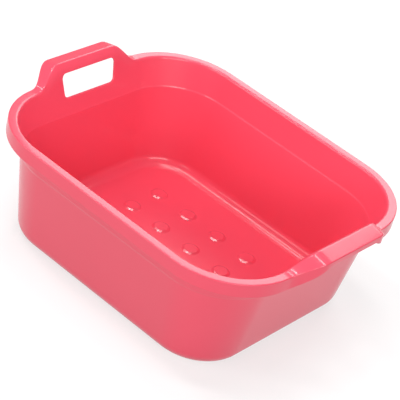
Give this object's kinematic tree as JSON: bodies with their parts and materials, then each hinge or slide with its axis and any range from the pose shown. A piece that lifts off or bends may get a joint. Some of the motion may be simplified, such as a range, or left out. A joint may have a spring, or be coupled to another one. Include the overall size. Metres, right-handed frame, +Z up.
{
  "type": "washing up bowl",
  "caption": "Rectangular plastic washing up bowl with rounded corners, tapered walls, a turned-down rim, a raised looped handle at each end and raised pips on the floor.",
  "frame": {"origin": "on the surface that the bowl stands on, under the middle of the floor", "axes": "+X along the long side, towards one handle; +Y across the bowl; +Z up, out of the mouth"},
  "size_m": [0.394, 0.307, 0.1503],
  "materials": {
    "bowl": "glossy red polypropylene"
  },
  "bodies": {
    "root": {"bowl": "bowl"}
  },
  "joints": []
}
